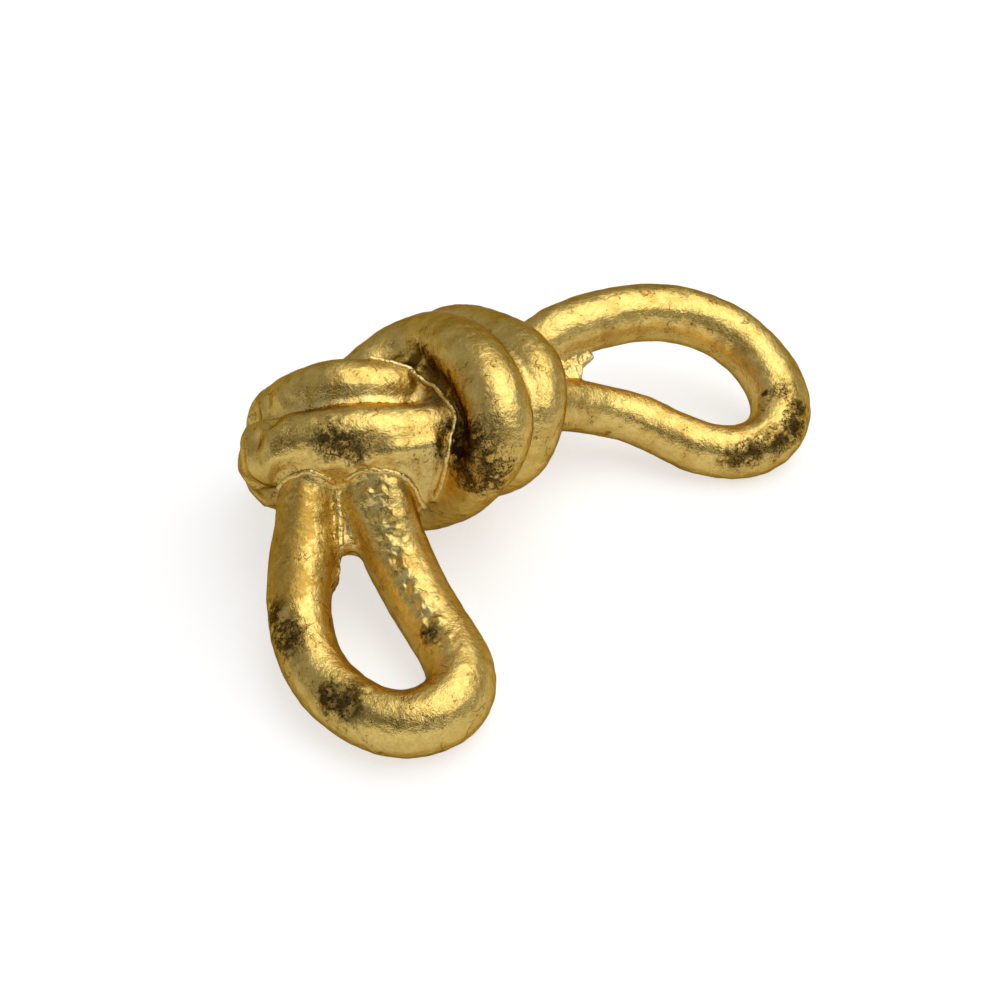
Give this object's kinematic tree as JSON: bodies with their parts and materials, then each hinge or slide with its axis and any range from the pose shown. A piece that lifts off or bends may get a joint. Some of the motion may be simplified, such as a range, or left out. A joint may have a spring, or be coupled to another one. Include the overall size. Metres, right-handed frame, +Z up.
{
  "type": "knot sculpture",
  "caption": "Gold-leafed table ornament: one thick closed round bar, doubled and tied in an overhand knot with a teardrop loop at each end.",
  "frame": {"origin": "on the table, under the middle of the piece's length and width", "axes": "+X along the piece from the front loop's side to the back loop's side, +Z up from the table; the picture looks from -X and -Y, down at about 40 degrees"},
  "size_m": [0.2666, 0.1638, 0.0875],
  "materials": {
    "gold_leaf": "aged gold leaf over a hand-finished casting, crinkled",
    "pale_leaf": "rough cast, pale gold leaf",
    "pin_steel": "plain round bar"
  },
  "bodies": {
    "root": {"front_loop": "gold_leaf", "back_loop": "gold_leaf", "through_bar_right": "gold_leaf", "through_bar_left": "gold_leaf", "wrap_bar_outer": "gold_leaf", "wrap_bar_inner": "gold_leaf", "under_bar_far": "gold_leaf", "under_bar_near": "gold_leaf", "over_bar_far": "gold_leaf", "over_bar_near": "gold_leaf", "front_root_web": "pale_leaf", "back_root_web": "pale_leaf", "joint_pins": "pin_steel"}
  },
  "joints": []
}
